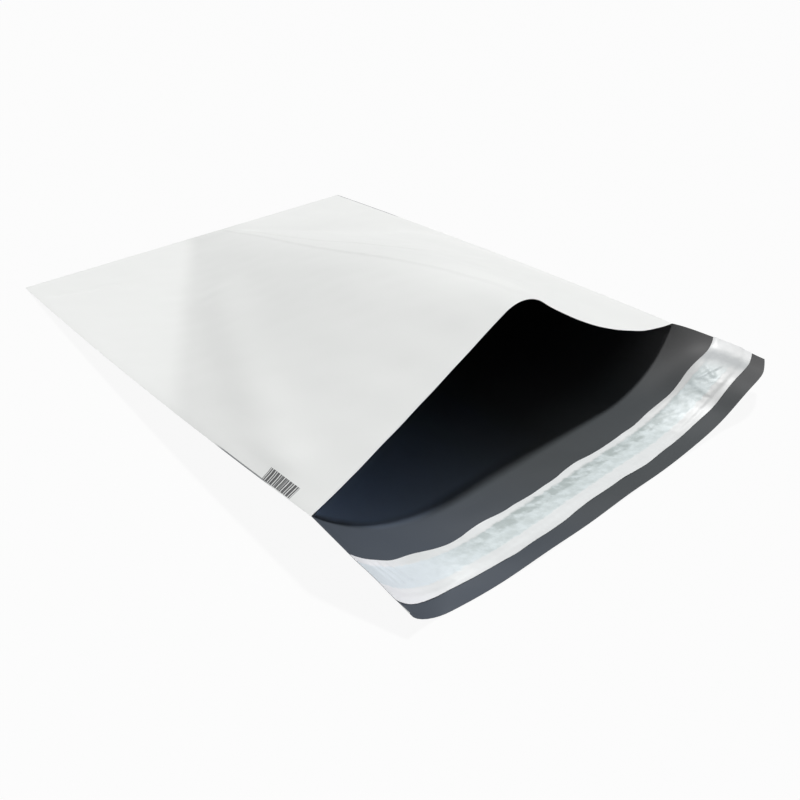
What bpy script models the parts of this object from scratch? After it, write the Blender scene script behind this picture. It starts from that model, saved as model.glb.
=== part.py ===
# Poly mailer bag, lying open on its back panel. One film is folded at the closed end and
# welded down both sides. Its back panel runs on past the mouth as a flap, which carries an
# adhesive strip under a release liner.
# Metres, +Z up. The length runs along Y, closed end at +Y and mouth at -Y. The near side is
# at -X and the far side at +X. The origin is on the underside, in the middle of the film.
import bpy
import bmesh
import numpy as np

# Cut sizes of the film
BAG_WIDTH = 0.254
BAG_LENGTH = 0.330
FLAP_LENGTH = 0.0507
FILM_WALL = 0.0003
SIDE_WELD = 0.001
END_FOLD = 0.001

# Release liner and adhesive strip, on the flap
LINER_WIDTH = 0.0227
LINER_WALL = 0.0002
MARGIN_PAST_LINER = 0.0080
LINER_BEND = 0.0020
STRIP_WIDTH = 0.0125
STRIP_WALL = 0.0003
SEAT_GAP = 0.0003

# How the back panel curls up from the floor along each side, at the mouth
NEAR_SIDE_RISE = 0.0347
NEAR_CURL_WIDTH = 0.0940
FAR_SIDE_RISE = 0.0308
FAR_CURL_WIDTH = 0.0670

# The same curls at the flap's free edge: the near corner drops, the far one relaxes
NEAR_CORNER_RISE = 0.0117
NEAR_CORNER_CURL_WIDTH = 0.0237
FAR_CORNER_RISE = 0.0185
FAR_CORNER_CURL_WIDTH = 0.1088

# How far the film's middle line leans to the far side, at the mouth and at the flap's edge
MOUTH_LEAN = -0.0095
FLAP_EDGE_LEAN = 0.0062

# The front panel at the mouth: its crest, measured across the film from the near side,
# and the shape of the slopes on either side of it
CREST_FROM_NEAR_SIDE = 0.1296
NEAR_SLOPE_POWER = 1.05
FAR_SLOPE_POWER = 1.56
CREST_ROUNDING = 0.26

# The front panel is a tent: its folds fan out from an apex on the closed end. Its near slope
# climbs from a foot to a shoulder, then gently on to the crest, and falls to the far foot
APEX_FROM_NEAR_SIDE = 0.143
SHOULDER_FROM_NEAR_SIDE = 0.124
NEAR_FOOT_AT_FOLD = 0.122
NARROWEST_FOOT = 0.002
NEAR_FAN_LENGTH = 0.225
FAR_FAN_LENGTH = 0.135
FAN_ROUNDING = 0.12
CREST_BOW = 0.005
UPPER_SLOPE_SHARE = 0.5
FOLD_SOFTNESS = 0.034
MOUTH_FORM_FROM = 0.55
CREST_RISE_POWER = 0.96
CREST_ARCH = 0.0085
ARCH_PEAK = 0.82

# Colours, in linear light
OUTSIDE_WHITE = (0.80, 0.81, 0.80, 1.0)
INSIDE_GREY = (0.068, 0.078, 0.086, 1.0)
LINER_WHITE = (0.78, 0.82, 0.83, 1.0)
STRIP_GREY = (0.55, 0.60, 0.58, 1.0)

# Mesh density
COLUMNS = 37
BAG_ROWS = 14
ARC_STEPS = 296
HALVINGS = 40
SHARP_ANGLE = np.radians(35)


def clear_scene():
    for old in list(bpy.data.objects):
        bpy.data.objects.remove(old, do_unlink=True)


def principled(name, colour, roughness):
    material = bpy.data.materials.new(name)
    material.use_nodes = True
    material.diffuse_color = colour
    shader = material.node_tree.nodes["Principled BSDF"]
    shader.inputs["Base Color"].default_value = colour
    shader.inputs["Roughness"].default_value = roughness
    shader.inputs["Metallic"].default_value = 0.0
    return material


def curl(from_side, rise, width):
    """Height of a side that curls up from the floor in a parabola."""
    return rise * np.maximum(0.0, 1.0 - from_side / width) ** 2


def smooth_min(a, b, rounding):
    share = np.clip(0.5 + 0.5 * (b - a) / rounding, 0.0, 1.0)
    return b * (1.0 - share) + a * share - rounding * share * (1.0 - share)


def blend(start, end, share):
    return start + (end - start) * share


def smooth_step(low, high, value):
    share = np.clip((value - low) / (high - low), 0.0, 1.0)
    return share * share * (3.0 - 2.0 * share)


# Distances across the film from its near side, fine enough to measure its arcs with
ACROSS = np.linspace(0.0, BAG_WIDTH, ARC_STEPS + 1)


def lay_out(height):
    """Plan distances from the near side, for a film that keeps its width at these heights."""
    run = np.sqrt(np.maximum(np.diff(ACROSS) ** 2 - np.diff(height) ** 2, 0.0))
    return np.concatenate([[0.0], np.cumsum(run)])


def back_profile(along):
    """The back panel's x and z across the film, this far along it from the closed end."""
    opened = min(along / BAG_LENGTH, 1.0)
    out = max(along - BAG_LENGTH, 0.0) / FLAP_LENGTH
    near_rise = blend(NEAR_SIDE_RISE, NEAR_CORNER_RISE, out) * opened
    near_width = blend(NEAR_CURL_WIDTH, NEAR_CORNER_CURL_WIDTH, out)
    far_rise = blend(FAR_SIDE_RISE, FAR_CORNER_RISE, out) * opened
    far_width = blend(FAR_CURL_WIDTH, FAR_CORNER_CURL_WIDTH, out)
    lean = blend(MOUTH_LEAN, FLAP_EDGE_LEAN, out) * opened
    z = curl(ACROSS, near_rise, near_width) + curl(BAG_WIDTH - ACROSS, far_rise, far_width)
    x = lay_out(z)
    return x - np.interp(BAG_WIDTH / 2, ACROSS, x) + lean, z


def mouth_hump():
    """The front panel's shape at the mouth, 0 at both sides and about 1 at its crest."""
    near_slope = (ACROSS / CREST_FROM_NEAR_SIDE) ** NEAR_SLOPE_POWER
    from_far_side = (BAG_WIDTH - ACROSS) / (BAG_WIDTH - CREST_FROM_NEAR_SIDE)
    hump = smooth_min(near_slope, from_far_side**FAR_SLOPE_POWER, CREST_ROUNDING)
    return hump - np.interp(ACROSS, (0.0, BAG_WIDTH), (hump[0], hump[-1]))


MOUTH_HUMP = mouth_hump()


def crest_at_mouth():
    """The front panel is as wide as the back and joined to it at both sides, so the width
    that the curls free goes into its crest. This is how high that makes it at the mouth."""
    back_x, back_z = back_profile(BAG_LENGTH)
    straight = np.interp(ACROSS, (0.0, BAG_WIDTH), (back_z[0], back_z[-1]))
    low = 0.0
    high = BAG_WIDTH / 2
    for _ in range(HALVINGS):
        crest = (low + high) / 2
        if lay_out(straight + crest * MOUTH_HUMP)[-1] > back_x[-1] - back_x[0]:
            low = crest
        else:
            high = crest
    return low


CREST_RISE = crest_at_mouth()


def foot(at_fold, at_side, along, fan_length):
    """Where a foot of the tent lies, as it fans out from the fold to the film's side."""
    return blend(at_fold, at_side, smooth_min(along / fan_length, 1.0, FAN_ROUNDING))


def crest_at(opened):
    """The crest's distance from the near side: it bows out to the far side on its way."""
    bow = CREST_BOW * np.sin(np.pi * opened)
    return blend(APEX_FROM_NEAR_SIDE, CREST_FROM_NEAR_SIDE, opened) + bow


def soften(line, width):
    """A line of heights, 0 at both ends, with its bends rounded over this width."""
    reach = int(3 * width / ACROSS[1])
    if reach < 1:
        return line
    kernel = np.exp(-0.5 * (np.arange(-reach, reach + 1) * ACROSS[1] / width) ** 2)
    mirrored = np.concatenate([-line[reach:0:-1], line, -line[-2 : -reach - 2 : -1]])
    return np.convolve(mirrored, kernel / kernel.sum(), mode="valid")


def tent_at(along):
    """The front panel's height across the film, as a share of its crest, this far along it."""
    opened = along / BAG_LENGTH
    near_foot = foot(NEAR_FOOT_AT_FOLD, 0.0, along, NEAR_FAN_LENGTH)
    far_foot = foot(APEX_FROM_NEAR_SIDE + NARROWEST_FOOT, BAG_WIDTH, along, FAR_FAN_LENGTH)
    crest = crest_at(opened)
    climb = SHOULDER_FROM_NEAR_SIDE - near_foot
    upper = UPPER_SLOPE_SHARE * (crest - SHOULDER_FROM_NEAR_SIDE)
    folds = (near_foot, SHOULDER_FROM_NEAR_SIDE, crest, far_foot)
    tent = np.interp(ACROSS, folds, (0.0, climb / (climb + upper), 1.0, 0.0))
    on_mouth = np.interp(
        ACROSS, (near_foot, crest, far_foot), (0.0, CREST_FROM_NEAR_SIDE, BAG_WIDTH)
    )
    at_mouth = np.interp(on_mouth, ACROSS, MOUTH_HUMP)
    tent = blend(tent, at_mouth, smooth_step(MOUTH_FORM_FROM, 1.0, opened))
    return soften(tent, FOLD_SOFTNESS * opened * (1.0 - opened**6))


def crest_rise(opened):
    """The crest's height over the line between the sides. It arches up before the mouth."""
    power = ARCH_PEAK / (1.0 - ARCH_PEAK)
    arch = opened**power * (1.0 - opened) / (ARCH_PEAK**power * (1.0 - ARCH_PEAK))
    return CREST_RISE * opened**CREST_RISE_POWER + CREST_ARCH * arch


def front_profile(along):
    """The front panel's x and z, between the back panel's sides."""
    back_x, back_z = back_profile(along)
    chord = back_x[-1] - back_x[0]
    straight = np.interp(ACROSS, (0.0, BAG_WIDTH), (back_z[0], back_z[-1]))
    z = straight + crest_rise(along / BAG_LENGTH) * tent_at(along)
    x = lay_out(z)
    return back_x[0] + x * chord / x[-1], z


def lay_lengthwise(profile, stations):
    """Grid of points, row by row: each fibre along the film keeps its cut length."""
    columns = np.linspace(0.0, BAG_WIDTH, COLUMNS + 1)
    columns = np.concatenate([[0.0, SIDE_WELD], columns[1:-1], [BAG_WIDTH - SIDE_WELD, BAG_WIDTH]])
    rows = [[np.interp(columns, ACROSS, line) for line in profile(along)] for along in stations]
    x, z = np.array(rows).transpose(1, 0, 2)
    rise = np.diff(z, axis=0)
    drift = np.diff(x, axis=0)
    run = np.sqrt(np.maximum(np.diff(stations)[:, None] ** 2 - rise**2 - drift**2, 0.0))
    y = (BAG_LENGTH + FLAP_LENGTH) / 2 - np.vstack([np.zeros(len(columns)), np.cumsum(run, axis=0)])
    return np.stack([x, y, z], axis=2)


def raised(grid, height):
    """The grid moved along its upward normals, by one height or by one for each row."""
    normal = np.cross(np.gradient(grid, axis=0), np.gradient(grid, axis=1))
    normal /= np.linalg.norm(normal, axis=2, keepdims=True)
    return grid + normal * np.reshape(height, (-1, 1, 1))


def add_points(mesh, grid):
    return [[mesh.verts.new(point) for point in row] for row in grid]


def join(mesh, line, other, material=0):
    """Faces between two lines of points; an end that both share closes in a triangle."""
    for a, b, c, d in zip(line, line[1:], other[1:], other):
        corners = list(dict.fromkeys((a, b, c, d)))
        mesh.faces.new(corners).material_index = material


def skin(mesh, points, material=0):
    for line, following in zip(points, points[1:]):
        join(mesh, line, following, material)


def column(points, index):
    return [line[index] for line in points]


def finish(mesh, name, *materials):
    loose = [vert for vert in mesh.verts if not vert.link_faces]
    bmesh.ops.delete(mesh, geom=loose, context="VERTS")
    bmesh.ops.recalc_face_normals(mesh, faces=mesh.faces)
    data = bpy.data.meshes.new(name)
    mesh.to_mesh(data)
    mesh.free()
    for material in materials:
        data.materials.append(material)
    data.shade_smooth()
    data.set_sharp_from_angle(angle=SHARP_ANGLE)
    piece = bpy.data.objects.new(name, data)
    bpy.context.scene.collection.objects.link(piece)


def film_bag(back, front, mouth):
    """The one film, as a closed thin body. back runs from the closed end to the flap's edge,
    front from the closed end to the mouth, which is row number mouth of both."""
    mesh = bmesh.new()
    under = add_points(mesh, back)
    floor = add_points(mesh, raised(back, FILM_WALL))
    top = add_points(mesh, raised(front, 2 * FILM_WALL))
    # The pocket's roof shares its rim with the floor, along the fold and both side welds
    roof = [floor[1][1:-1]]
    for line, points in zip(floor[2 : mouth + 1], raised(front, FILM_WALL)[2:, 2:-2]):
        roof.append([line[1], *(mesh.verts.new(point) for point in points), line[-2]])

    skin(mesh, under)
    skin(mesh, top)
    skin(mesh, [line[1:-1] for line in floor[1 : mouth + 1]], material=1)
    skin(mesh, roof, material=1)
    skin(mesh, floor[mouth:], material=1)
    join(mesh, under[0], top[0])
    join(mesh, under[-1], floor[-1], material=1)
    for side in (0, -1):
        join(mesh, column(under[: mouth + 1], side), column(top, side))
        join(mesh, column(under[mouth:], side), column(floor[mouth:], side), material=1)
        mesh.faces.new((under[mouth][side], top[mouth][side], floor[mouth][side]))
    lip = [floor[mouth][0], *roof[-1], floor[mouth][-1]]
    join(mesh, top[-1], lip, material=1)
    white = principled("white_film", OUTSIDE_WHITE, 0.45)
    grey = principled("grey_film", INSIDE_GREY, 0.50)
    finish(mesh, "film_bag", white, grey)


def layer(name, grid, heights, wall, material):
    """A thin closed layer that lies over a grid, its underside at one height for each row."""
    heights = np.array(heights)
    mesh = bmesh.new()
    bottom = add_points(mesh, raised(grid, heights))
    top = add_points(mesh, raised(grid, heights + wall))
    skin(mesh, bottom)
    skin(mesh, top)
    for end in (0, -1):
        join(mesh, bottom[end], top[end])
        join(mesh, column(bottom, end), column(top, end))
    finish(mesh, name, material)


def main():
    clear_scene()
    liner_end = BAG_LENGTH + FLAP_LENGTH - MARGIN_PAST_LINER
    liner_start = liner_end - LINER_WIDTH
    strip_start = liner_start + (LINER_WIDTH - STRIP_WIDTH) / 2
    strip_end = strip_start + STRIP_WIDTH
    bag_rows = np.insert(np.linspace(0.0, BAG_LENGTH, BAG_ROWS + 1), 1, END_FOLD)
    liner_rows = [
        liner_start,
        strip_start - LINER_BEND,
        strip_start,
        strip_end,
        strip_end + LINER_BEND,
        liner_end,
    ]
    flap_rows = [(BAG_LENGTH + liner_start) / 2, *liner_rows, BAG_LENGTH + FLAP_LENGTH]
    mouth = len(bag_rows) - 1
    back = lay_lengthwise(back_profile, np.concatenate([bag_rows, flap_rows]))
    film_bag(back, lay_lengthwise(front_profile, bag_rows), mouth)

    # The layers bend along the film's own rows; the flap starts after the mouth's row
    on_film = FILM_WALL + SEAT_GAP
    over_strip = on_film + STRIP_WALL + SEAT_GAP
    liner = back[mouth + 2 : mouth + 2 + len(liner_rows)]
    liner_heights = [on_film, on_film, over_strip, over_strip, on_film, on_film]
    paper = principled("liner_white", LINER_WHITE, 0.40)
    layer("release_liner", liner, liner_heights, LINER_WALL, paper)
    glue = principled("adhesive", STRIP_GREY, 0.35)
    layer("adhesive_strip", liner[2:4, 1:-1], [on_film, on_film], STRIP_WALL, glue)


main()
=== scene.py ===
import bmesh
import bpy
import numpy as np
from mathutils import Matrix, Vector

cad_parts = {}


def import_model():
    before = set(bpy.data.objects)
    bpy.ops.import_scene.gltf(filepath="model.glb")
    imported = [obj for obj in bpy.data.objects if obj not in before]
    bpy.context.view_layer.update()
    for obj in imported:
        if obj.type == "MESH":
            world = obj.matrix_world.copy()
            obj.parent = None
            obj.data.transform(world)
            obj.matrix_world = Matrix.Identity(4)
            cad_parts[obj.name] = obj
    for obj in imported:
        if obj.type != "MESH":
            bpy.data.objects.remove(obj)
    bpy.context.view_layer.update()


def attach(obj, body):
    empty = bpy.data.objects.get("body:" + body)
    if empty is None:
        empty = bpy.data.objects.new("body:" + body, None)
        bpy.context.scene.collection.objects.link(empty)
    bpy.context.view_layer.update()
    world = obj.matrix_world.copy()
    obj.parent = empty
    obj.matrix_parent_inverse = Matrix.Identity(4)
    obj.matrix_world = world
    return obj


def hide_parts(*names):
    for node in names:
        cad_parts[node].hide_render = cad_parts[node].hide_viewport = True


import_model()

# The bag as it was cut and as it lies, the same values as its solids have
BAG_WIDTH = 0.254
BAG_LENGTH = 0.330
FLAP_LENGTH = 0.0507
NEAR_SIDE_RISE = 0.0347
NEAR_CURL_WIDTH = 0.0940
FAR_SIDE_RISE = 0.0308
FAR_CURL_WIDTH = 0.0670
NEAR_CORNER_RISE = 0.0117
NEAR_CORNER_CURL_WIDTH = 0.0237
FAR_CORNER_RISE = 0.0185
FAR_CORNER_CURL_WIDTH = 0.1088
MOUTH_LEAN = -0.0095
FLAP_EDGE_LEAN = 0.0062
CREST_FROM_NEAR_SIDE = 0.1296
NEAR_SLOPE_POWER = 1.05
FAR_SLOPE_POWER = 1.56
CREST_ROUNDING = 0.26
# The front panel is a tent: its folds fan out from an apex on the closed end. Its near slope
# climbs from a foot to a shoulder, then gently on to the crest, and falls to the far foot
APEX_FROM_NEAR_SIDE = 0.143
SHOULDER_FROM_NEAR_SIDE = 0.124
NEAR_FOOT_AT_FOLD = 0.122
NARROWEST_FOOT = 0.002
NEAR_FAN_LENGTH = 0.225
FAR_FAN_LENGTH = 0.135
FAN_ROUNDING = 0.12
CREST_BOW = 0.005
UPPER_SLOPE_SHARE = 0.5
FOLD_SOFTNESS = 0.034
MOUTH_FORM_FROM = 0.55
CREST_RISE_POWER = 0.96
CREST_ARCH = 0.0085
ARCH_PEAK = 0.82
LINER_WIDTH = 0.0227
MARGIN_PAST_LINER = 0.0080
STRIP_WIDTH = 0.0125
STRIP_INSET = 0.005

# Thin layers: closer to the real ones than the solids' walls are
FILM_WALL = 0.00012
SIDE_WELD = 0.0012
WELD_EDGE = 0.00006
END_FOLD = 0.001
LAYER_GAP = 0.00006
STRIP_WALL = 0.00018
LINER_WALL = 0.00012

# Mesh density
COLUMN_STEP = 0.0029
CREASED = (0.116, 0.222)
CREASED_STEP = 0.0011
ROW_STEP = 0.0026
FLAP_ROW_STEP = 0.0020
LINER_STEP = 0.0007
ARC_STEPS = 508
HALVINGS = 40
SHARP_ANGLE = np.radians(40)

# The photo's camera: 801 pixels of focal length in a frame of 800, 35.4 degrees down
CAMERA_PLACE = (-0.24323, -0.32666, 0.24416)
CAMERA_DOWN = np.radians(35.42)
CAMERA_YAW = np.radians(40.22)
SENSOR = 36.0
LENS = 36.05

# Creases of the front panel, as places (s, t) on the film: the ridge's, the one that splits
# off from it towards the far side, and two faint ones near the closed end. A soft lobe runs
# along the far side
RIDGE_CREASE = ((0.143, 0.004), (0.144, 0.073), (0.1405, 0.148), (0.137, 0.260), (0.131, 0.322))
SPLIT_CREASE = ((0.146, 0.006), (0.152, 0.050), (0.155, 0.120), (0.170, 0.165), (0.182, 0.190))
NEAR_END_CREASE = ((0.003, 0.026), (0.024, 0.036), (0.047, 0.044))
FAR_END_CREASE = ((0.252, 0.012), (0.228, 0.030), (0.205, 0.034))
FAR_LOBE = ((0.228, 0.120), (0.236, 0.190), (0.236, 0.262), (0.241, 0.310))
CREASE_WIDTH = 0.0011
CREASE_FADE = 0.012
CREASE_END = 0.004
RIDGE_CREASE_STEP = 0.00060
CREASE_STEP = 0.00045
LOBE_WIDTH = 0.012
LOBE_RISE = 0.0014

# A soft wave down the tent's near slope, from its middle to the near corner of the mouth, and
# slight ones all over
WAVE = ((0.078, 0.125), (0.010, 0.297))
WAVE_WIDTH = 0.012
WAVE_RISE = 0.0018
FRONT_RIPPLES = (0.014, 0.05)
FRONT_RIPPLE_RISE = 0.00008

# The flap waves slightly, from a little past the mouth, and stands up before its far side
FLAP_WAVES = (0.03, 0.08)
FLAP_WAVE_RISE = 0.00035
FLAP_WAVES_START = (0.003, 0.024)
FAR_STAND = ((0.231, 0.360), (0.229, 0.385))
FAR_STAND_WIDTH = 0.017
FAR_STAND_RISE = 0.0060

# The front panel's relief fades out this close to its fold and sides, and the flap's rise
# this close to its far side
HELD_EDGE = 0.012
HELD_FLAP_EDGE = 0.014


def curl(from_side, rise, width):
    """Height of a side that curls up from the floor in a parabola."""
    return rise * np.maximum(0.0, 1.0 - from_side / width) ** 2


def smooth_min(a, b, rounding):
    """The lower of two values, rounded where they cross."""
    share = np.clip(0.5 + 0.5 * (b - a) / rounding, 0.0, 1.0)
    return b * (1.0 - share) + a * share - rounding * share * (1.0 - share)


def blend(start, end, share):
    return start + (end - start) * share


def smooth_step(low, high, value):
    """0 where value is under low, 1 where it is over high, and smooth between."""
    share = np.clip((value - low) / (high - low), 0.0, 1.0)
    return share * share * (3.0 - 2.0 * share)


# Distances across the film from its near side, fine enough to measure its arcs with
ACROSS = np.linspace(0.0, BAG_WIDTH, ARC_STEPS + 1)


def lay_out(height):
    """Plan distances from the near side, for a film that keeps its width at these heights."""
    run = np.sqrt(np.maximum(np.diff(ACROSS) ** 2 - np.diff(height) ** 2, 0.0))
    return np.concatenate([[0.0], np.cumsum(run)])


def back_profile(along):
    """The back panel's x and z across the film, this far along it from the closed end."""
    opened = min(along / BAG_LENGTH, 1.0)
    out = max(along - BAG_LENGTH, 0.0) / FLAP_LENGTH
    near_rise = blend(NEAR_SIDE_RISE, NEAR_CORNER_RISE, out) * opened
    near_width = blend(NEAR_CURL_WIDTH, NEAR_CORNER_CURL_WIDTH, out)
    far_rise = blend(FAR_SIDE_RISE, FAR_CORNER_RISE, out) * opened
    far_width = blend(FAR_CURL_WIDTH, FAR_CORNER_CURL_WIDTH, out)
    lean = blend(MOUTH_LEAN, FLAP_EDGE_LEAN, out) * opened
    z = curl(ACROSS, near_rise, near_width) + curl(BAG_WIDTH - ACROSS, far_rise, far_width)
    x = lay_out(z)
    return x - np.interp(BAG_WIDTH / 2, ACROSS, x) + lean, z


def mouth_hump():
    """The front panel's shape at the mouth, 0 at both sides and about 1 at its crest."""
    near_slope = (ACROSS / CREST_FROM_NEAR_SIDE) ** NEAR_SLOPE_POWER
    from_far_side = (BAG_WIDTH - ACROSS) / (BAG_WIDTH - CREST_FROM_NEAR_SIDE)
    hump = smooth_min(near_slope, from_far_side**FAR_SLOPE_POWER, CREST_ROUNDING)
    return hump - np.interp(ACROSS, (0.0, BAG_WIDTH), (hump[0], hump[-1]))


MOUTH_HUMP = mouth_hump()


def crest_at_mouth():
    """The front panel is as wide as the back and joined to it at both sides, so the width
    that the curls free goes into its crest. This is how high that makes it at the mouth."""
    back_x, back_z = back_profile(BAG_LENGTH)
    straight = np.interp(ACROSS, (0.0, BAG_WIDTH), (back_z[0], back_z[-1]))
    low = 0.0
    high = BAG_WIDTH / 2
    for _ in range(HALVINGS):
        crest = (low + high) / 2
        if lay_out(straight + crest * MOUTH_HUMP)[-1] > back_x[-1] - back_x[0]:
            low = crest
        else:
            high = crest
    return low


CREST_RISE = crest_at_mouth()


def foot(at_fold, at_side, along, fan_length):
    """Where a foot of the tent lies, as it fans out from the fold to the film's side."""
    return blend(at_fold, at_side, smooth_min(along / fan_length, 1.0, FAN_ROUNDING))


def crest_at(opened):
    """The crest's distance from the near side: it bows out to the far side on its way."""
    bow = CREST_BOW * np.sin(np.pi * opened)
    return blend(APEX_FROM_NEAR_SIDE, CREST_FROM_NEAR_SIDE, opened) + bow


def soften(line, width):
    """A line of heights, 0 at both ends, with its bends rounded over this width."""
    reach = int(3 * width / ACROSS[1])
    if reach < 1:
        return line
    kernel = np.exp(-0.5 * (np.arange(-reach, reach + 1) * ACROSS[1] / width) ** 2)
    mirrored = np.concatenate([-line[reach:0:-1], line, -line[-2 : -reach - 2 : -1]])
    return np.convolve(mirrored, kernel / kernel.sum(), mode="valid")


def tent_at(along):
    """The front panel's height across the film, as a share of its crest, this far along it."""
    opened = along / BAG_LENGTH
    near_foot = foot(NEAR_FOOT_AT_FOLD, 0.0, along, NEAR_FAN_LENGTH)
    far_foot = foot(APEX_FROM_NEAR_SIDE + NARROWEST_FOOT, BAG_WIDTH, along, FAR_FAN_LENGTH)
    crest = crest_at(opened)
    climb = SHOULDER_FROM_NEAR_SIDE - near_foot
    upper = UPPER_SLOPE_SHARE * (crest - SHOULDER_FROM_NEAR_SIDE)
    folds = (near_foot, SHOULDER_FROM_NEAR_SIDE, crest, far_foot)
    tent = np.interp(ACROSS, folds, (0.0, climb / (climb + upper), 1.0, 0.0))
    on_mouth = np.interp(
        ACROSS, (near_foot, crest, far_foot), (0.0, CREST_FROM_NEAR_SIDE, BAG_WIDTH)
    )
    at_mouth = np.interp(on_mouth, ACROSS, MOUTH_HUMP)
    tent = blend(tent, at_mouth, smooth_step(MOUTH_FORM_FROM, 1.0, opened))
    return soften(tent, FOLD_SOFTNESS * opened * (1.0 - opened**6))


def crest_rise(opened):
    """The crest's height over the line between the sides. It arches up before the mouth."""
    power = ARCH_PEAK / (1.0 - ARCH_PEAK)
    arch = opened**power * (1.0 - opened) / (ARCH_PEAK**power * (1.0 - ARCH_PEAK))
    return CREST_RISE * opened**CREST_RISE_POWER + CREST_ARCH * arch


def front_profile(along):
    """The front panel's x and z, between the back panel's sides."""
    back_x, back_z = back_profile(along)
    chord = back_x[-1] - back_x[0]
    straight = np.interp(ACROSS, (0.0, BAG_WIDTH), (back_z[0], back_z[-1]))
    z = straight + crest_rise(along / BAG_LENGTH) * tent_at(along)
    x = lay_out(z)
    return back_x[0] + x * chord / x[-1], z


def lay_lengthwise(profile, stations, columns):
    """Grid of points, row by row: each fibre along the film keeps its cut length."""
    rows = [[np.interp(columns, ACROSS, line) for line in profile(along)] for along in stations]
    x, z = np.array(rows).transpose(1, 0, 2)
    rise = np.diff(z, axis=0)
    drift = np.diff(x, axis=0)
    run = np.sqrt(np.maximum(np.diff(stations)[:, None] ** 2 - rise**2 - drift**2, 0.0))
    y = (BAG_LENGTH + FLAP_LENGTH) / 2 - np.vstack([np.zeros(len(columns)), np.cumsum(run, axis=0)])
    return np.stack([x, y, z], axis=2)


def normals(grid):
    normal = np.cross(np.gradient(grid, axis=0), np.gradient(grid, axis=1))
    return normal / np.linalg.norm(normal, axis=2, keepdims=True)


def off_path(s, t, path):
    """Distance of places on the film from a path, below 0 on its near side."""
    nearest = np.full(np.broadcast(s, t).shape, np.inf)
    for (s0, t0), (s1, t1) in zip(path, path[1:]):
        ahead = (s - s0) * (s1 - s0) + (t - t0) * (t1 - t0)
        share = np.clip(ahead / ((s1 - s0) ** 2 + (t1 - t0) ** 2), 0.0, 1.0)
        aside = s - blend(s0, s1, share)
        gap = np.copysign(np.hypot(aside, t - blend(t0, t1, share)), aside)
        nearest = np.where(np.abs(gap) < np.abs(nearest), gap, nearest)
    return nearest


def along_path(s, t, path, width):
    """How near a place on the film is to a path: 1 on it, falling to 0 past its width."""
    return np.exp(-((off_path(s, t, path) / width) ** 2))


def crease(s, t, path, step):
    """A fold line: a small step up from its near side, that fades towards the far side."""
    off = off_path(s, t, path)
    fade = np.exp(-np.maximum(off, 0.0) / CREASE_FADE)
    return step * smooth_step(-CREASE_WIDTH, CREASE_WIDTH, off) * fade * ending(t, path)


def ending(t, path):
    """1 beside a path and 0 past its ends along the film."""
    started = smooth_step(-CREASE_END, 0.0, t - path[0][1])
    return started * smooth_step(-CREASE_END, 0.0, path[-1][1] - t)


def ripples(s, t, shortest, longest, seed, count=14):
    """Waves of mixed lengths and directions, with heights around 0 and a spread of about 1."""
    chance = np.random.default_rng(seed)
    total = 0.0
    for _ in range(count):
        turn = chance.uniform(0.0, np.pi)
        length = chance.uniform(shortest, longest)
        phase = chance.uniform(0.0, 2 * np.pi)
        run = s * np.cos(turn) + t * np.sin(turn)
        total = total + np.cos(2 * np.pi * run / length + phase)
    return total / np.sqrt(count / 2)


def front_relief(s, t):
    """Heights over the smooth tent: its creases, its soft waves and slight ripples."""
    relief = crease(s, t, RIDGE_CREASE, RIDGE_CREASE_STEP)
    relief += crease(s, t, SPLIT_CREASE, CREASE_STEP)
    relief -= CREASE_STEP * along_path(s, t, NEAR_END_CREASE, 2 * CREASE_WIDTH)
    relief -= 0.5 * CREASE_STEP * along_path(s, t, FAR_END_CREASE, 2 * CREASE_WIDTH)
    relief += LOBE_RISE * along_path(s, t, FAR_LOBE, LOBE_WIDTH)
    relief += WAVE_RISE * along_path(s, t, WAVE, WAVE_WIDTH)
    relief += FRONT_RIPPLE_RISE * ripples(s, t, *FRONT_RIPPLES, seed=3)
    held = smooth_step(0.0, HELD_EDGE, s) * smooth_step(0.0, HELD_EDGE, BAG_WIDTH - s)
    return relief * held * smooth_step(0.0, HELD_EDGE, t)


def flap_relief(s, t):
    """Heights over the smooth flap: slight waves, and a rise before its far side."""
    waves = FLAP_WAVE_RISE * (1.0 + ripples(s, t, *FLAP_WAVES, seed=5))
    stand = FAR_STAND_RISE * along_path(s, t, FAR_STAND, FAR_STAND_WIDTH)
    held = smooth_step(0.0, HELD_FLAP_EDGE, BAG_WIDTH - s)
    out = smooth_step(*FLAP_WAVES_START, t - BAG_LENGTH)
    return out * (np.maximum(waves, 0.0) + stand * held)


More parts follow.
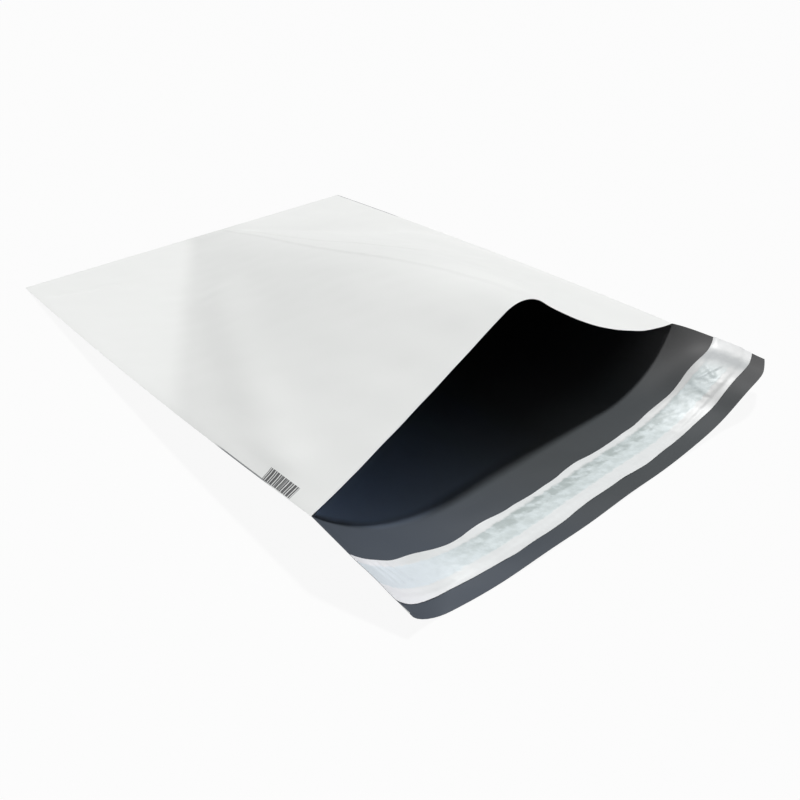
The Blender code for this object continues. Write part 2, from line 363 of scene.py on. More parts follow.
class Shell:
    """Points and faces of one closed mesh, gathered grid by grid."""

    def __init__(self):
        self.points = []
        self.film = []
        self.front = []
        self.faces = []
        self.materials = []
        self.count = 0

    def add(self, grid, across, along, front=0.0):
        """Adds a grid's points with their places on the film, and returns their numbers."""
        size = grid.shape[0] * grid.shape[1]
        self.points.append(grid.reshape(-1, 3))
        places = np.stack([*np.broadcast_arrays(across, along), np.zeros(grid.shape[:2])], axis=2)
        self.film.append(places.reshape(-1, 3))
        self.front.append(np.full(size, front))
        numbers = np.arange(self.count, self.count + size).reshape(grid.shape[:2])
        self.count += size
        return numbers

    def skin(self, numbers, material=0):
        corners = [numbers[:-1, :-1], numbers[:-1, 1:], numbers[1:, 1:], numbers[1:, :-1]]
        quads = np.stack(corners, axis=2).reshape(-1, 4)
        self.faces.extend(quads.tolist())
        self.materials.extend([material] * len(quads))

    def join(self, line, other, material=0):
        self.skin(np.stack([line, other]), material)

    def triangle(self, *numbers):
        self.faces.append([int(number) for number in numbers])
        self.materials.append(0)

    def finish(self, name, materials):
        data = bpy.data.meshes.new(name)
        data.from_pydata(np.concatenate(self.points).tolist(), [], self.faces)
        places = data.attributes.new("film_place", "FLOAT_VECTOR", "POINT")
        places.data.foreach_set("vector", np.concatenate(self.film).astype(np.float32).ravel())
        front = data.attributes.new("front", "FLOAT", "POINT")
        front.data.foreach_set("value", np.concatenate(self.front).astype(np.float32))
        data.polygons.foreach_set("material_index", self.materials)
        for material in materials:
            data.materials.append(material)
        clean(data)
        data.shade_smooth()
        data.set_sharp_from_angle(angle=SHARP_ANGLE)
        piece = bpy.data.objects.new(name, data)
        bpy.context.scene.collection.objects.link(piece)
        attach(piece, "root")
        return piece


def clean(data):
    """Drops points that no face uses, and turns all faces outwards."""
    mesh = bmesh.new()
    mesh.from_mesh(data)
    loose = [vert for vert in mesh.verts if not vert.link_faces]
    bmesh.ops.delete(mesh, geom=loose, context="VERTS")
    bmesh.ops.recalc_face_normals(mesh, faces=mesh.faces)
    mesh.to_mesh(data)
    mesh.free()


def steps(start, end, step):
    return np.linspace(start, end, int(round((end - start) / step)) + 1)


def columns_across():
    """Columns across the film, closest where the front panel's creases run."""
    near = steps(SIDE_WELD, CREASED[0], COLUMN_STEP)
    creased = steps(*CREASED, CREASED_STEP)[1:]
    far = steps(CREASED[1], BAG_WIDTH - SIDE_WELD, COLUMN_STEP)[1:]
    return np.concatenate([[0.0], near, creased, far, [BAG_WIDTH]])


LINER_END = BAG_LENGTH + FLAP_LENGTH - MARGIN_PAST_LINER
LINER_START = LINER_END - LINER_WIDTH
STRIP_START = LINER_START + (LINER_WIDTH - STRIP_WIDTH) / 2
STRIP_END = STRIP_START + STRIP_WIDTH

COLUMNS = columns_across()
BAG_ROWS = np.insert(steps(0.0, BAG_LENGTH, ROW_STEP), 1, END_FOLD)
FLAP_ROWS = steps(BAG_LENGTH, BAG_LENGTH + FLAP_LENGTH, FLAP_ROW_STEP)[1:]
ALL_ROWS = np.concatenate([BAG_ROWS, FLAP_ROWS])
MOUTH = len(BAG_ROWS) - 1


def film_bag(white, grey):
    """The one film: back panel and flap below, front panel above, welded down both sides."""
    shell = Shell()
    s = COLUMNS[None, :]
    t = ALL_ROWS[:, None]
    back = lay_lengthwise(back_profile, ALL_ROWS, COLUMNS)
    back = back + normals(back) * flap_relief(s, t)[..., None]
    front = lay_lengthwise(front_profile, BAG_ROWS, COLUMNS)
    front = front + normals(front) * front_relief(s, t[: MOUTH + 1])[..., None]
    back_up = normals(back)
    front_up = normals(front)
    under = shell.add(back, s, t)
    floor = shell.add(back + back_up * FILM_WALL, s, t)
    walls = np.full(len(COLUMNS), 2 * FILM_WALL)
    walls[[0, -1]] = WELD_EDGE
    top = shell.add(front + front_up * walls[:, None], s, t[: MOUTH + 1], front=1.0)
    roof = shell.add(front + front_up * FILM_WALL, s, t[: MOUTH + 1])

    # The pocket's roof shares its rim with the floor, along the fold and both side welds
    roof = roof[1:, 1:-1]
    roof[0] = floor[1, 1:-1]
    roof[:, 0] = floor[1 : MOUTH + 1, 1]
    roof[:, -1] = floor[1 : MOUTH + 1, -2]

    shell.skin(under)
    shell.skin(top)
    shell.skin(floor[1 : MOUTH + 1, 1:-1], 1)
    shell.skin(roof, 1)
    shell.skin(floor[MOUTH:], 1)
    shell.join(under[0], top[0])
    shell.join(under[-1], floor[-1], 1)
    for side in (0, -1):
        shell.join(under[: MOUTH + 1, side], top[:, side])
        shell.join(under[MOUTH:, side], floor[MOUTH:, side])
        shell.triangle(under[MOUTH, side], top[MOUTH, side], floor[MOUTH, side])
    lip = np.concatenate([[floor[MOUTH, 0]], roof[-1], [floor[MOUTH, -1]]])
    shell.join(top[-1], lip, 1)
    piece = shell.finish("film", [white, grey])
    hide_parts("film_bag")
    return back + back_up * FILM_WALL, back_up


def on_surface(grid, across, along):
    """Points of a grid over COLUMNS and ALL_ROWS, at these places on the film."""
    column = np.interp(across, COLUMNS, np.arange(len(COLUMNS)))
    row = np.interp(along, ALL_ROWS, np.arange(len(ALL_ROWS)))
    i = np.clip(row.astype(int), 0, len(ALL_ROWS) - 2)
    j = np.clip(column.astype(int), 0, len(COLUMNS) - 2)
    down = (row - i)[..., None]
    over = (column - j)[..., None]
    first = blend(grid[i, j], grid[i, j + 1], over)
    second = blend(grid[i + 1, j], grid[i + 1, j + 1], over)
    return blend(first, second, down)


def layer(name, surface, up, s, t, height, wall, material):
    """A thin closed layer on the flap, its underside at this height over the film."""
    base = on_surface(surface, s, t)
    rise = on_surface(up, s, t)
    shell = Shell()
    bottom = shell.add(base + rise * height[..., None], s, t)
    top = shell.add(base + rise * (height + wall)[..., None], s, t)
    shell.skin(bottom)
    shell.skin(top)
    for end in (0, -1):
        shell.join(bottom[end], top[end])
        shell.join(bottom[:, end], top[:, end])
    return shell.finish(name, [material])


def adhesive(surface, up, material):
    s, t = np.meshgrid(
        steps(STRIP_INSET, BAG_WIDTH - SIDE_WELD, 2 * LINER_STEP),
        steps(STRIP_START, STRIP_END, 2 * LINER_STEP),
    )
    piece = layer("adhesive", surface, up, s, t, np.full(s.shape, LAYER_GAP), STRIP_WALL, material)
    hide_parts("adhesive_strip")


# Wrinkles of the liner, as places (s, t) on the film: short diagonal folds at its near end,
# a crossing pinch near its far end and a crease beside it. It crinkles over the adhesive and
# waves where it lies loose, around a middle height that is 1.5 times the waves' spread
NEAR_FOLDS = (
    ((0.0100, 0.3530), (0.0135, 0.3620)),
    ((0.0140, 0.3525), (0.0180, 0.3610)),
    ((0.0185, 0.3530), (0.0235, 0.3605)),
)
PINCH = (
    ((0.2245, 0.3570), (0.2350, 0.3615)),
    ((0.2275, 0.3625), (0.2330, 0.3555)),
)
CROSS_CREASE = ((0.2200, 0.3560), (0.2150, 0.3660))
NEAR_FOLD_WIDTH = 0.0010
NEAR_FOLD_RISE = 0.0004
PINCH_WIDTH = 0.0009
PINCH_RISE = 0.0004
CROSS_CREASE_STEP = 0.0003
CRINKLES = (0.0030, 0.0090)
CRINKLE_RISE = 0.00003
LOOSE_WAVES = (0.010, 0.030)
LOOSE_WAVE_RISE = 0.00010
LOOSE_FROM_STRIP = (0.004, 0.006)
WAVE_MIDDLE = 1.5
HELD_LINER_EDGE = 0.008
STRIP_SHOULDER = 0.002
UP_BEFORE_STRIP = 0.001

# The liner's long edges wave, and each has one shallow bay. At the far end both bend
# towards the flap's edge
EDGE_WAVES = (0.02, 0.07)
INNER_WAVE_RISE = 0.00055
OUTER_WAVE_RISE = 0.00045
BAY_DEPTH = 0.0008
INNER_BAY = 0.106
INNER_BAY_WIDTH = 0.008
OUTER_BAY = (0.025, 0.088)
OUTER_BAY_ENDS = (0.010, 0.012)
INNER_BEND_START = 0.225
INNER_BEND = 0.0026
OUTER_BEND_START = 0.235
OUTER_BEND = 0.0012


def liner_wrinkles(s, t, over_strip):
    """Heights over the flat liner: crinkles over the adhesive, and waves beside it."""
    crinkles = WAVE_MIDDLE + ripples(s, t, *CRINKLES, seed=11, count=22)
    waves = WAVE_MIDDLE + ripples(s, t, *LOOSE_WAVES, seed=12)
    before, past = LOOSE_FROM_STRIP
    loose = smooth_step(0.0, past, t - STRIP_END) + smooth_step(0.0, before, STRIP_START - t)
    height = CRINKLE_RISE * over_strip * crinkles + LOOSE_WAVE_RISE * loose * waves
    for fold in NEAR_FOLDS:
        height = height + NEAR_FOLD_RISE * along_path(s, t, fold, NEAR_FOLD_WIDTH)
    for fold in PINCH:
        height = height + PINCH_RISE * along_path(s, t, fold, PINCH_WIDTH)
    height = height + crease(s, t, CROSS_CREASE, CROSS_CREASE_STEP)
    return np.maximum(height, 0.0) * smooth_step(0.0, HELD_LINER_EDGE, s)


def liner_edges(s):
    """How far along the film the liner's inner and outer edges lie."""
    inner = LINER_START + INNER_WAVE_RISE * ripples(s, 0.0, *EDGE_WAVES, seed=21)
    inner = inner + BAY_DEPTH * np.exp(-(((s - INNER_BAY) / INNER_BAY_WIDTH) ** 2))
    inner = inner + INNER_BEND * smooth_step(INNER_BEND_START, BAG_WIDTH, s)
    outer = LINER_END + OUTER_WAVE_RISE * ripples(s, 0.0, *EDGE_WAVES, seed=22)
    into = smooth_step(0.0, OUTER_BAY_ENDS[0], s - OUTER_BAY[0])
    out_of = smooth_step(0.0, OUTER_BAY_ENDS[1], OUTER_BAY[1] - s)
    outer = outer - BAY_DEPTH * into * out_of
    return inner, outer + OUTER_BEND * smooth_step(OUTER_BEND_START, BAG_WIDTH, s)


def liner(surface, up, material):
    s = steps(0.0, BAG_WIDTH, LINER_STEP)[None, :]
    share = np.linspace(0.0, 1.0, int(LINER_WIDTH / LINER_STEP) + 1)[:, None]
    t = blend(*liner_edges(s), share)
    s = np.broadcast_to(s, t.shape)
    over_strip = smooth_step(STRIP_START - STRIP_SHOULDER, STRIP_START, t)
    over_strip = over_strip * (1.0 - smooth_step(STRIP_END, STRIP_END + STRIP_SHOULDER, t))
    over_strip = over_strip * smooth_step(0.0, STRIP_INSET - UP_BEFORE_STRIP, s)
    height = LAYER_GAP + over_strip * (STRIP_WALL + LAYER_GAP) + liner_wrinkles(s, t, over_strip)
    piece = layer("liner", surface, up, s, t, height, LINER_WALL, material)
    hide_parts("release_liner")


# Fine grain of the film, as its noise's scale, detail and roughness, and its depth
GRAIN = (700.0, 4.0, 0.6)
GRAIN_DEPTH = 0.00002


class Nodes:
    """A material's node tree, with short calls to add and link nodes."""

    def __init__(self, tree):
        self.tree = tree
        tree.nodes.clear()

    def add(self, kind, **settings):
        node = self.tree.nodes.new(kind)
        for name, value in settings.items():
            setattr(node, name, value)
        return node

    def put(self, socket, value):
        """Sets a socket to a number or a colour, or links another node's output to it."""
        if isinstance(value, bpy.types.NodeSocket):
            self.tree.links.new(value, socket)
        else:
            socket.default_value = value

    def math(self, operation, a, b=0.0):
        node = self.add("ShaderNodeMath", operation=operation)
        self.put(node.inputs[0], a)
        self.put(node.inputs[1], b)
        return node.outputs[0]

    def times(self, first, *others):
        """All the values multiplied."""
        for other in others:
            first = self.math("MULTIPLY", first, other)
        return first

    def noise(self, place, scale, detail=3.0, roughness=0.5):
        node = self.add("ShaderNodeTexNoise")
        self.put(node.inputs["Vector"], place)
        node.inputs["Scale"].default_value = scale
        node.inputs["Detail"].default_value = detail
        node.inputs["Roughness"].default_value = roughness
        return node.outputs["Fac"]

    def stretch(self, place, scale):
        node = self.add("ShaderNodeVectorMath", operation="MULTIPLY")
        self.put(node.inputs[0], place)
        node.inputs[1].default_value = scale
        return node.outputs[0]

    def between(self, value, low, high):
        """value, from 0 to 1, spread from low to high."""
        node = self.add("ShaderNodeMapRange")
        self.put(node.inputs["Value"], value)
        node.inputs["To Min"].default_value = low
        node.inputs["To Max"].default_value = high
        return node.outputs["Result"]

    def ramp(self, value, low, high):
        """0 where value is under low, 1 where it is over high, and smooth between."""
        node = self.add("ShaderNodeMapRange", interpolation_type="SMOOTHSTEP")
        self.put(node.inputs["Value"], value)
        node.inputs["From Min"].default_value = low
        node.inputs["From Max"].default_value = high
        return node.outputs["Result"]

    def outside(self, value, low, high):
        """1 where value is under low, 0 where it is over high, and smooth between."""
        return self.math("SUBTRACT", 1.0, self.ramp(value, low, high))

    def inside(self, value, limits, edge):
        """1 where value is between the limits, with soft edges."""
        start = self.ramp(value, limits[0] - edge, limits[0] + edge)
        end = self.ramp(value, limits[1] - edge, limits[1] + edge)
        return self.math("SUBTRACT", start, end)

    def mix(self, share, first, second):
        node = self.add("ShaderNodeMix", data_type="RGBA")
        self.put(node.inputs["Factor"], share)
        self.put(node.inputs[6], first)
        self.put(node.inputs[7], second)
        return node.outputs[2]

    def bump(self, height, distance, under=None):
        node = self.add("ShaderNodeBump")
        node.inputs["Distance"].default_value = distance
        self.put(node.inputs["Height"], height)
        if under is not None:
            self.put(node.inputs["Normal"], under)
        return node.outputs["Normal"]

    def film_normal(self, place, stretched, scale, depth):
        """Soft dents, drawn out along the film, under a fine grain."""
        grain = self.bump(self.noise(place, *GRAIN), GRAIN_DEPTH)
        dents = self.noise(self.stretch(place, (1.0, stretched, 1.0)), scale, 2.0)
        return self.bump(dents, depth, under=grain)

    def surface(self, shader):
        output = self.add("ShaderNodeOutputMaterial")
        self.put(output.inputs["Surface"], shader.outputs[0])

    def plastic(self, colour, roughness, **inputs):
        """The surface of a plastic, with any other inputs of its shader by name."""
        shader = self.add("ShaderNodeBsdfPrincipled")
        self.put(shader.inputs["Base Color"], colour)
        self.put(shader.inputs["Roughness"], roughness)
        for name, value in inputs.items():
            self.put(shader.inputs[name], value)
        self.surface(shader)

    def shared(self):
        """1 for what the camera, mirrors and glass see, 0 for the light on the object."""
        path = self.add("ShaderNodeLightPath")
        seen = self.math("MAXIMUM", path.outputs["Is Camera Ray"], path.outputs["Is Glossy Ray"])
        return self.math("MAXIMUM", seen, path.outputs["Is Transmission Ray"])


def new_material(name):
    material = bpy.data.materials.new(name)
    material.use_nodes = True
    return material, Nodes(material.node_tree)


def film_place(nodes):
    """The place on the film as a vector, and its s and t by themselves."""
    place = nodes.add("ShaderNodeAttribute", attribute_name="film_place").outputs["Vector"]
    parts = nodes.add("ShaderNodeSeparateXYZ")
    nodes.put(parts.inputs[0], place)
    return place, parts.outputs["X"], parts.outputs["Y"]


# The block of printed bars by the near side, a generic pattern of two mixed spacings. Where
# both waves together are low, the ink is left out
BARS_ACROSS = (0.0004, 0.0062)
BARS_ALONG = (0.2960, 0.3154)
BAR_SPACINGS = (0.00101, 0.00157)
BAR_CUT = (-1.45, 0.05)
INK_EDGE = 0.00012
INK = (0.045, 0.045, 0.048, 1)
INK_COVER = 0.95

# Where the trimmed edges show the grey inside, as limits across and along the film
BARE_EDGES = (((-0.01, 0.00055), (0.262, 0.300)), ((0.2532, 0.27), (0.001, 0.078)))
BARE_END = 0.006
BARE = (0.20, 0.21, 0.22, 1)

# Painted shade: the fan of folds is painted a little greyer than the film around it, most of all
# at its apex, for the shade on its slopes. Its near side starts at this s on the closed end and
# runs towards the near side along the film, its far side runs out to a limit, and both end before
# the mouth
FAN_PAINTED_SHADE = (0.60, 0.61, 0.60, 1)
FAN_PAINTED_SHADE_STRENGTH = 0.36
FAN_NEAR_START = 0.122
FAN_NEAR_RUN = 0.54
FAN_NEAR_EDGE = (-0.009, 0.007)
FAN_FAR_START = 0.175
FAN_FAR_RUN = 1.2
FAN_FAR_LIMIT = 0.24
FAN_FAR_EDGE = (-0.010, 0.090)
FAN_END = (0.19, 0.31)
APEX_PAINTED_SHADE_STRENGTH = 0.25
APEX_ACROSS = (0.116, 0.154)
APEX_EDGE = 0.012
APEX_END = (0.006, 0.040)

# The film's white, with a satin sheen. Dents are given by their stretch, scale and depth
WHITES = ((0.785, 0.797, 0.785, 1), (0.822, 0.830, 0.818, 1))
WHITE_CLOUD = 14.0
WHITE_ROUGHNESS = (0.42, 0.54)
WHITE_SHEEN = 0.35
WHITE_DENTS = (0.45, 55.0, 0.00012)
FINISH_CLOUD = 90.0


def printed_bars(nodes, s, t):
    """1 where the bars are inked."""
    turns = [nodes.times(t, 2 * np.pi / spacing) for spacing in BAR_SPACINGS]
    waves = [nodes.math("SINE", turn) for turn in turns]
    bars = nodes.ramp(nodes.math("ADD", *waves), *BAR_CUT)
    across = nodes.inside(s, BARS_ACROSS, INK_EDGE)
    return nodes.times(bars, across, nodes.inside(t, BARS_ALONG, INK_EDGE))


def painted_fan_shade(nodes, s, t):
    """How much painted shade the fan of folds on the front panel gets, from its apex to near the
    mouth.
    """
    from_near = nodes.math("ADD", s, nodes.times(t, FAN_NEAR_RUN))
    near = nodes.ramp(nodes.math("SUBTRACT", from_near, FAN_NEAR_START), *FAN_NEAR_EDGE)
    limit = nodes.math("ADD", nodes.times(t, FAN_FAR_RUN), FAN_FAR_START)
    to_far = nodes.math("SUBTRACT", nodes.math("MINIMUM", limit, FAN_FAR_LIMIT), s)
    far = nodes.ramp(to_far, *FAN_FAR_EDGE)
    fan = nodes.times(near, far, nodes.outside(t, *FAN_END), FAN_PAINTED_SHADE_STRENGTH)
    apex = nodes.inside(s, APEX_ACROSS, APEX_EDGE)
    return nodes.math("ADD", fan, nodes.times(apex, nodes.outside(t, *APEX_END), APEX_PAINTED_SHADE_STRENGTH))


def white_film():
    """White outside, with painted shade on the fan of folds, the bare edges and the printed bars.
    """
    material, nodes = new_material("white_film")
    place, s, t = film_place(nodes)
    film = nodes.mix(nodes.noise(place, WHITE_CLOUD), *WHITES)
    front = nodes.add("ShaderNodeAttribute", attribute_name="front").outputs["Fac"]
    # Painted shade on the fan of folds, on the front panel only
    film = nodes.mix(nodes.times(painted_fan_shade(nodes, s, t), front), film, FAN_PAINTED_SHADE)
    for across, along in BARE_EDGES:
        bare = nodes.times(nodes.inside(s, across, INK_EDGE), nodes.inside(t, along, BARE_END))
        film = nodes.mix(bare, film, BARE)
    inked = nodes.times(printed_bars(nodes, s, t), front, INK_COVER)
    settings = {
        "Specular IOR Level": WHITE_SHEEN,
        "Normal": nodes.film_normal(place, *WHITE_DENTS),
    }
    roughness = nodes.between(nodes.noise(place, FINISH_CLOUD), *WHITE_ROUGHNESS)
    nodes.plastic(nodes.mix(inked, film, INK), roughness, **settings)
    return material


# The grey inside, with painted light and shade: a painted bluish light by the near side, plain grey
# across the middle and painted light by the far side. In the pocket, painted shade darkens it
# towards the far side, and a painted bluish light lies before the near part of the mouth's line
NEAR_GREYS_PAINTED_BLUE_LIGHT = ((0.062, 0.073, 0.091, 1), (0.074, 0.087, 0.106, 1))
MIDDLE_GREYS = ((0.045, 0.051, 0.055, 1), (0.057, 0.063, 0.067, 1))
FAR_GREYS_PAINTED_LIGHT = ((0.080, 0.080, 0.081, 1), (0.092, 0.092, 0.093, 1))
TO_MIDDLE = (0.03, 0.14)
TO_FAR = (0.20, 0.25)
POCKET_PAINTED_SHADE = (0.020, 0.021, 0.023, 1)
POCKET_SHADE_END = (0.300, 0.327)
POCKET_SHADE_ACROSS = (0.08, 0.20)
PAINTED_BLUE_LIGHT = (0.45, 0.56, 0.74, 1)
PAINTED_LIGHT_START = (0.22, 0.29)
PAINTED_LIGHT_END = (0.322, 0.330)
PAINTED_LIGHT_ACROSS = (0.0, 0.155)
PAINTED_LIGHT_LAG = 0.0035
LAG_ACROSS = (0.025, 0.072)
LAG_EDGE = 0.016
GREY_CLOUD = 22.0
GREY_ROUGHNESS = (0.50, 0.64)
GREY_FINISH_CLOUD = 45.0
GREY_SHEEN = 0.20
GREY_DENTS = (0.5, 70.0, 0.00015)


def grey_film():
    material, nodes = new_material("grey_film")
    place, s, t = film_place(nodes)
    cloud = nodes.noise(place, GREY_CLOUD)
    # Painted light: bluish by the near side and lighter by the far side, over plain grey across the
    # middle
    colour = nodes.mix(cloud, *NEAR_GREYS_PAINTED_BLUE_LIGHT)
    colour = nodes.mix(nodes.ramp(s, *TO_MIDDLE), colour, nodes.mix(cloud, *MIDDLE_GREYS))
    colour = nodes.mix(nodes.ramp(s, *TO_FAR), colour, nodes.mix(cloud, *FAR_GREYS_PAINTED_LIGHT))
    # Painted shade deep in the pocket, towards the far side
    pocket_shade = nodes.times(nodes.outside(t, *POCKET_SHADE_END), nodes.ramp(s, *POCKET_SHADE_ACROSS))
    colour = nodes.mix(pocket_shade, colour, POCKET_PAINTED_SHADE)
    # Painted bluish light before the near part of the mouth's line, ending a little further out in
    # its middle
    lag = nodes.times(nodes.inside(s, LAG_ACROSS, LAG_EDGE), PAINTED_LIGHT_LAG)
    ended = nodes.outside(nodes.math("SUBTRACT", t, lag), *PAINTED_LIGHT_END)
    painted_light = nodes.times(nodes.ramp(t, *PAINTED_LIGHT_START), ended, nodes.outside(s, *PAINTED_LIGHT_ACROSS))
    settings = {
        "Specular IOR Level": GREY_SHEEN,
        "Normal": nodes.film_normal(place, *GREY_DENTS),
    }
    roughness = nodes.between(nodes.noise(place, GREY_FINISH_CLOUD), *GREY_ROUGHNESS)
    nodes.plastic(nodes.mix(painted_light, colour, PAINTED_BLUE_LIGHT), roughness, **settings)
    return material


# The liner's white: a painted highlight at its near end, darker before its far end, painted light
# at it
LINER_WHITES = ((0.70, 0.72, 0.72, 1), (0.77, 0.785, 0.785, 1))
LINER_CLOUD = 120.0
LINER_NEAR_PAINTED_HIGHLIGHT = (0.90, 0.905, 0.935, 1)
LINER_NEAR_END = (0.006, 0.040)
LINER_DARKER = (0.63, 0.635, 0.63, 1)
LINER_DARKER_ACROSS = (0.186, 0.240)
LINER_DARKER_EDGE = 0.016
LINER_DARKER_SHARE = 0.8
LINER_FAR_PAINTED_LIGHT = (0.86, 0.87, 0.87, 1)
LINER_FAR_START = (0.246, 0.251)
LINER_ROUGHNESS = (0.36, 0.50)
# The adhesive under it shows as a mottled band with a lumpy outline and a patchy dark rim.
# Noises are given by their scale, detail and roughness
BAND_ALONG = (0.3538, 0.3652)
BAND_EDGE = 0.0006
BAND_END = (0.226, 0.244)
LUMPS = (260.0, 3.0, 0.6)
LUMP_SHIFT = 0.0016
TACKY = ((0.56, 0.62, 0.62, 1), (0.68, 0.745, 0.755, 1))
# The band's near end is painted lighter and bluish, a painted light
TACKY_NEAR_PAINTED_BLUE_LIGHT = (0.76, 0.82, 0.87, 1)
TACKY_NEAR_END = (0.012, 0.070)
MOTTLE = (230.0, 4.0, 0.6)
MOTTLE_CUT = (0.34, 0.68)
RIM = (0.33, 0.38, 0.37, 1)
RIM_ALONG = (0.3532, 0.3590)
RIM_EDGE = 0.0010
RIM_ACROSS = (0.065, 0.205)
RIM_ENDS = 0.025
RIM_PATCHES = 170.0
PATCH_CUT = (0.38, 0.58)
RIM_STRENGTH = 0.66
CRINKLE = (330.0, 4.0, 0.6)
CRINKLE_DEPTH = 0.00012
# A soft band of painted shade crosses the liner where it bends up near its far end
BEND_PAINTED_SHADE = (0.38, 0.40, 0.41, 1)
BEND_ACROSS = (0.2375, 0.2460)
BEND_EDGE = 0.0030
BEND_SHIFT = 0.002
BEND_STRENGTH = 0.66


def liner_white(nodes, place, s):
    white = nodes.mix(nodes.noise(place, LINER_CLOUD), *LINER_WHITES)
    # Painted highlight at the liner's near end
    white = nodes.mix(nodes.ramp(s, *LINER_NEAR_END), LINER_NEAR_PAINTED_HIGHLIGHT, white)
    # Darker before the far end
    darker_part = nodes.inside(s, LINER_DARKER_ACROSS, LINER_DARKER_EDGE)
    white = nodes.mix(nodes.times(darker_part, LINER_DARKER_SHARE), white, LINER_DARKER)
    # Painted light at the liner's far end, past the bend
    return nodes.mix(nodes.ramp(s, *LINER_FAR_START), white, LINER_FAR_PAINTED_LIGHT)


def liner_film():
    """Thin white film. The adhesive shows through it as a mottled grey-green band."""
    material, nodes = new_material("liner_film")
    place, s, t = film_place(nodes)
    lumps = nodes.noise(place, *LUMPS)
    shifted = nodes.math("ADD", t, nodes.between(lumps, -LUMP_SHIFT, LUMP_SHIFT))
    band = nodes.times(nodes.inside(shifted, BAND_ALONG, BAND_EDGE), nodes.outside(s, *BAND_END))
    mottle = nodes.ramp(nodes.noise(place, *MOTTLE), *MOTTLE_CUT)
    # Painted bluish light at the band's near end
    tacky = nodes.mix(nodes.ramp(s, *TACKY_NEAR_END), TACKY_NEAR_PAINTED_BLUE_LIGHT, nodes.mix(mottle, *TACKY))
    colour = nodes.mix(band, liner_white(nodes, place, s), tacky)
    rim = nodes.inside(shifted, RIM_ALONG, RIM_EDGE)
    patches = nodes.ramp(nodes.noise(place, RIM_PATCHES), *PATCH_CUT)
    patched = nodes.times(nodes.inside(s, RIM_ACROSS, RIM_ENDS), patches)
    colour = nodes.mix(nodes.times(rim, patched, RIM_STRENGTH), colour, RIM)
    # Painted shade across the liner's bend near its far end
    wavering = nodes.math("ADD", s, nodes.between(lumps, -BEND_SHIFT, BEND_SHIFT))
    bend_shade = nodes.times(nodes.inside(wavering, BEND_ACROSS, BEND_EDGE), BEND_STRENGTH)
    crinkle = nodes.times(nodes.noise(place, *CRINKLE), band)
    roughness = nodes.between(nodes.noise(place, FINISH_CLOUD), *LINER_ROUGHNESS)
    normal = nodes.bump(crinkle, CRINKLE_DEPTH)
    nodes.plastic(nodes.mix(bend_shade, colour, BEND_PAINTED_SHADE), roughness, Normal=normal)
    return material


GLUE = ((0.50, 0.55, 0.53, 1), (0.62, 0.67, 0.65, 1))
GLUE_CLOUD = 200.0
GLUE_ROUGHNESS = (0.25, 0.4)
GLUE_FINISH_CLOUD = 60.0


def glue():
    material, nodes = new_material("glue")
    place = film_place(nodes)[0]
    roughness = nodes.between(nodes.noise(place, GLUE_FINISH_CLOUD), *GLUE_ROUGHNESS)
    nodes.plastic(nodes.mix(nodes.noise(place, GLUE_CLOUD), *GLUE), roughness)
    return material


# The floor and the world look white to the camera and in mirrors, and light the bag less
FLOOR_SIZE = 8.0
FLOOR_DROP = 0.0002
FLOOR_WHITE = (0.60, 0.60, 0.60, 1)
FLOOR_GLOW_SHARE = 0.93
KEY_LIGHT = 3.05
KEY_ANGLE = np.radians(4.5)
KEY_FROM = (0.18, 0.13, 0.975)
AMBIENT = 0.045
FILL_PLACE = (-0.62, -0.26, 0.32)
FILL_TARGET = (-0.10, -0.16, 0.03)
FILL_SIZE = 0.30
FILL_WATTS = 0.24
FILL_COLOUR = (0.92, 0.96, 1.0)


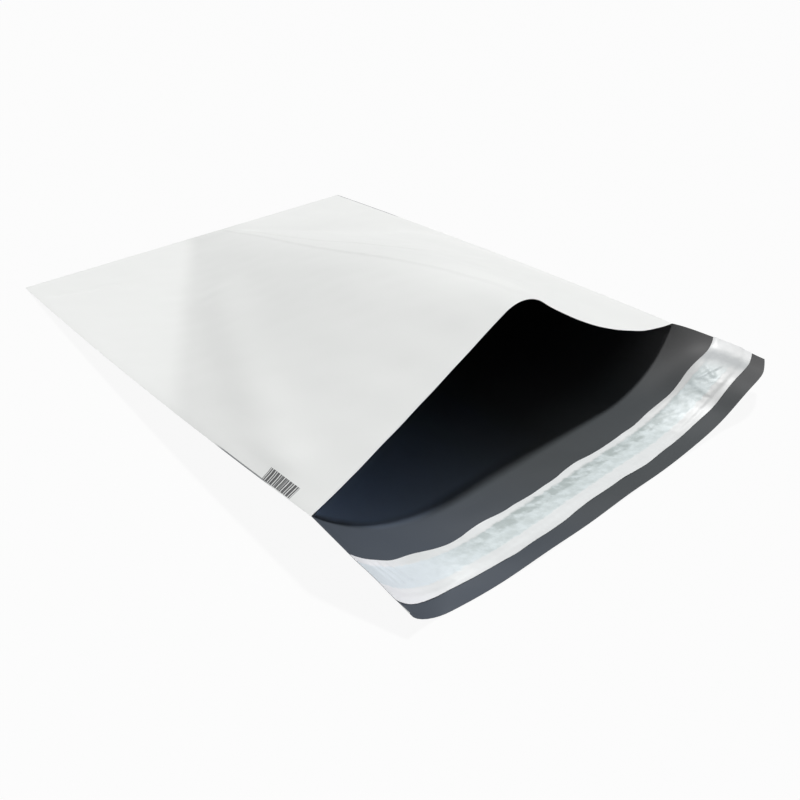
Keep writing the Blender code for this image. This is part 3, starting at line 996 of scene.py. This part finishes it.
def floor():
    mesh = bpy.data.meshes.new("floor")
    half = FLOOR_SIZE / 2
    corners = [(-half, -half), (half, -half), (half, half), (-half, half)]
    mesh.from_pydata([(x, y, -FLOOR_DROP) for x, y in corners], [], [(0, 1, 2, 3)])
    material, nodes = new_material("floor")
    matte = nodes.add("ShaderNodeBsdfDiffuse")
    matte.inputs["Color"].default_value = FLOOR_WHITE
    glow = nodes.add("ShaderNodeEmission")
    glow.inputs["Strength"].default_value = 1.0
    both = nodes.add("ShaderNodeMixShader")
    nodes.put(both.inputs[0], nodes.times(nodes.shared(), FLOOR_GLOW_SHARE))
    nodes.put(both.inputs[1], matte.outputs[0])
    nodes.put(both.inputs[2], glow.outputs[0])
    nodes.surface(both)
    mesh.materials.append(material)
    plane = bpy.data.objects.new("floor", mesh)
    bpy.context.scene.collection.objects.link(plane)


def world():
    studio = bpy.data.worlds.new("studio")
    bpy.context.scene.world = studio
    studio.use_nodes = True
    nodes = Nodes(studio.node_tree)
    both = nodes.add("ShaderNodeMixShader")
    nodes.put(both.inputs[0], nodes.shared())
    for socket, strength in zip(both.inputs[1:], (AMBIENT, 1.0)):
        white = nodes.add("ShaderNodeBackground")
        white.inputs["Color"].default_value = (1, 1, 1, 1)
        white.inputs["Strength"].default_value = strength
        nodes.put(socket, white.outputs[0])
    output = nodes.add("ShaderNodeOutputWorld")
    nodes.put(output.inputs["Surface"], both.outputs[0])


def lamp(name, kind, energy, away):
    """A lamp that shines against this direction. Returns its object and its light."""
    light = bpy.data.lights.new(name, kind)
    light.energy = energy
    piece = bpy.data.objects.new(name, light)
    piece.rotation_euler = away.to_track_quat("Z", "Y").to_euler()
    bpy.context.scene.collection.objects.link(piece)
    return piece, light


def lamps():
    """A small high sun, and a faint bluish fill from beyond the near side."""
    _, sun = lamp("key", "SUN", KEY_LIGHT, Vector(KEY_FROM))
    sun.angle = KEY_ANGLE
    fill, light = lamp("fill", "AREA", FILL_WATTS, Vector(FILL_PLACE) - Vector(FILL_TARGET))
    fill.location = FILL_PLACE
    light.size = FILL_SIZE
    light.color = FILL_COLOUR


def camera():
    data = bpy.data.cameras.new("camera")
    data.sensor_width = SENSOR
    data.lens = LENS
    eye = bpy.data.objects.new("camera", data)
    eye.location = CAMERA_PLACE
    eye.rotation_euler = (np.pi / 2 - CAMERA_DOWN, 0.0, -CAMERA_YAW)
    bpy.context.scene.collection.objects.link(eye)
    bpy.context.scene.camera = eye


camera()
world()
lamps()
floor()
surface, up = film_bag(white_film(), grey_film())
adhesive(surface, up, glue())
liner(surface, up, liner_film())

bpy.context.scene.view_settings.view_transform = "Standard"
